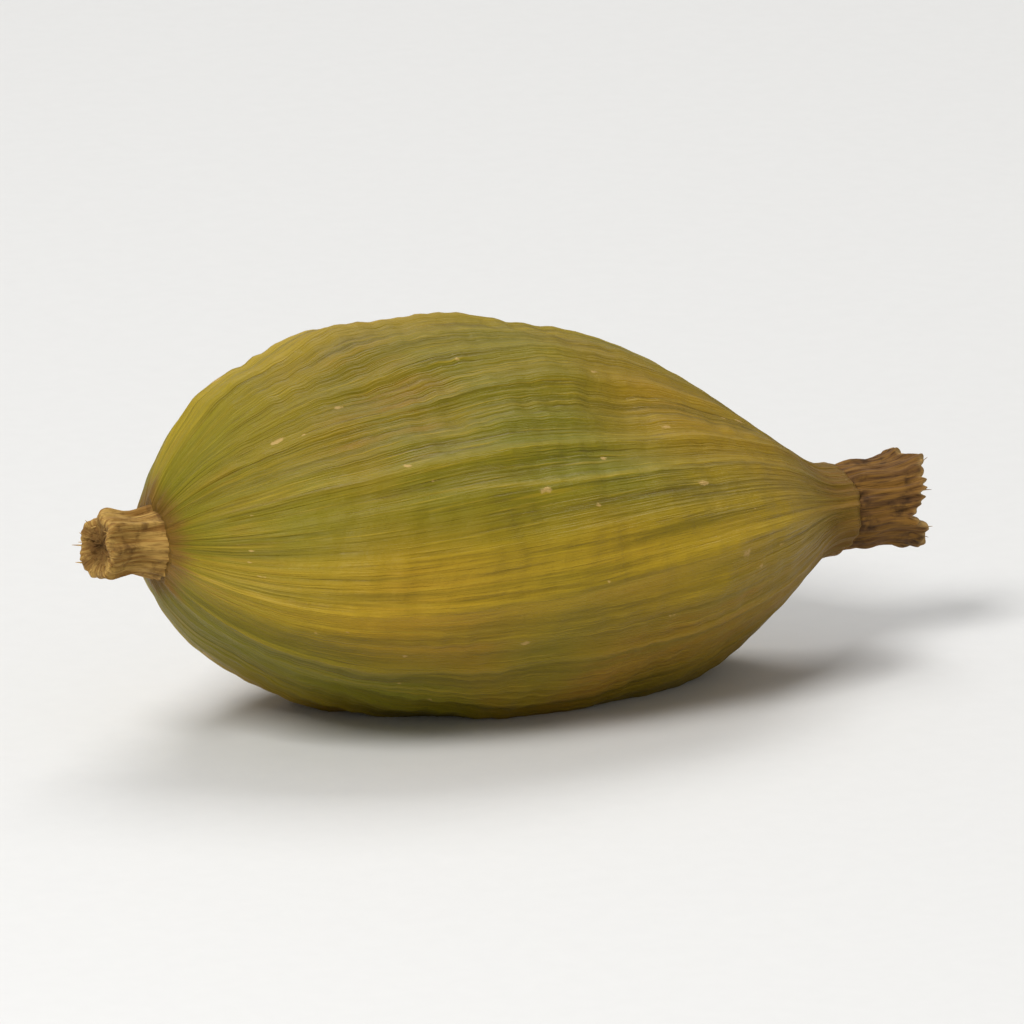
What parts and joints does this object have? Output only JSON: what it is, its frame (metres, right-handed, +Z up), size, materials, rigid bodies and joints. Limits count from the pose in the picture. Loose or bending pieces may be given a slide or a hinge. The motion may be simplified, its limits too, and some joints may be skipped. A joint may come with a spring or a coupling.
{
  "type": "green cardamom pod",
  "caption": "Dried green cardamom pod, a three-sided ribbed papery capsule with a stub of stalk and a dried flower tube, lying on its side.",
  "frame": {"origin": "on the surface that the pod lies on, under the middle of its bounding box", "axes": "+X along the pod from its stalk to its beaked tip, +Z up, -Y towards the viewer of the picture"},
  "size_m": [0.0154, 0.0066, 0.0063],
  "materials": {
    "husk": "dry leathery plant husk, olive green with straw-coloured ribs and a soft sheen",
    "stalk": "dry tan fibrous stalk, matt",
    "flower_tube": "dry brown papery flower tube, matt"
  },
  "bodies": {
    "root": {"husk": "husk", "stalk_stub": "stalk", "flower_tube": "flower_tube"}
  },
  "joints": []
}
